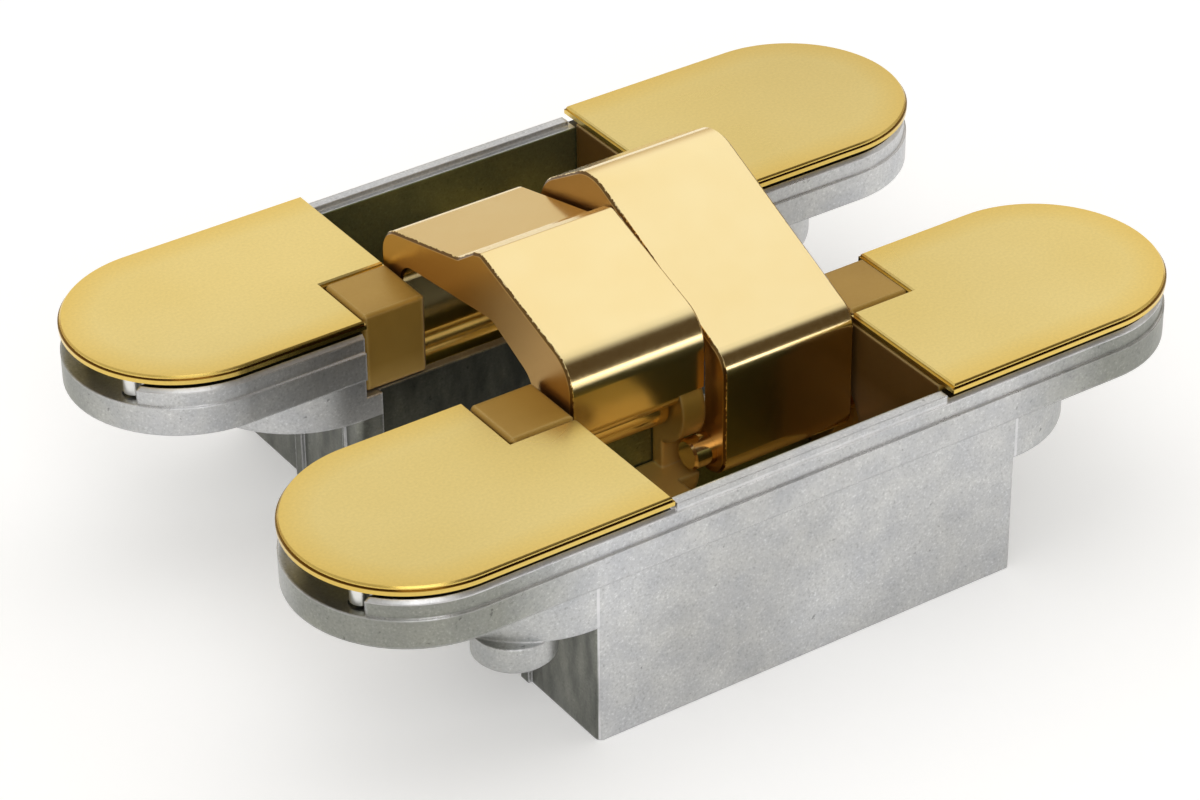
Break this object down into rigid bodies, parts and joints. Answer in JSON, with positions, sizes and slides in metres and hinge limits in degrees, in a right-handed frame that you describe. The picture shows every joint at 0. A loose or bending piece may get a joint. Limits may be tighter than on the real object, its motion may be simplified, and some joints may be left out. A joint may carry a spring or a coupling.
{
  "type": "concealed door hinge",
  "caption": "Concealed door hinge, lying open: round-ended zinc leaves with gilt cover plates, joined by crossing gilt arms that fold into the leaves.",
  "frame": {"origin": "under the middle of the open hinge, on the plane of the box bottoms", "axes": "+X along the leaves, +Y from the front leaf to the rear leaf, +Z out of the covers"},
  "size_m": [0.12, 0.081, 0.0426],
  "materials": {
    "zinc_casting": "raw die cast with a fine speckled grain",
    "bronze_lacquer": "satin bronze lacquer on a casting",
    "gilt_cover": "satin gilt plating",
    "gilt_arm": "polished rose gilt plating",
    "bush_bronze": "turned",
    "pin_steel": "ground",
    "washer_plastic": "moulded"
  },
  "bodies": {
    "front_leaf": {"housing_front": "zinc_casting", "carriage_front": "bronze_lacquer", "cover_front_left": "gilt_cover", "cover_front_right": "gilt_cover", "clamp_screws_front": "pin_steel", "adjuster_front": "pin_steel", "pivot_pin_front": "pin_steel"},
    "left_arm": {"arm_left": "gilt_arm", "pivot_bush_left": "bush_bronze", "centre_bush_left": "bush_bronze", "slide_pin_left": "pin_steel", "centre_pin": "pin_steel", "centre_washer": "washer_plastic"},
    "right_arm": {"arm_right": "gilt_arm", "pivot_bush_right": "bush_bronze", "centre_bush_right": "bush_bronze", "slide_pin_right": "pin_steel"},
    "rear_leaf": {"housing_rear": "zinc_casting", "carriage_rear": "bronze_lacquer", "cover_rear_right": "gilt_cover", "cover_rear_left": "gilt_cover", "clamp_screws_rear": "pin_steel", "adjuster_rear": "pin_steel", "pivot_pin_rear": "pin_steel"}
  },
  "joints": [
    {"name": "left_arm_pivot", "type": "hinge", "parent": "front_leaf", "child": "left_arm", "pos_m": [0, -0.014, 0.023], "axis": [1, 0, 0], "range_deg": [0, 108.17]},
    {"name": "arms_cross", "type": "hinge", "parent": "left_arm", "child": "right_arm", "pos_m": [0, 0, 0.0368], "axis": [1, 0, 0], "range_deg": [-36.33, 0]},
    {"name": "rear_leaf_pivot", "type": "hinge", "parent": "right_arm", "child": "rear_leaf", "pos_m": [0, 0.014, 0.023], "axis": [1, 0, 0], "range_deg": [0, 108.17]}
  ],
  "couplings": [
    {"joint": "arms_cross", "follows": "left_arm_pivot", "ratio": -0.33588},
    {"joint": "rear_leaf_pivot", "follows": "left_arm_pivot", "ratio": 1}
  ]
}
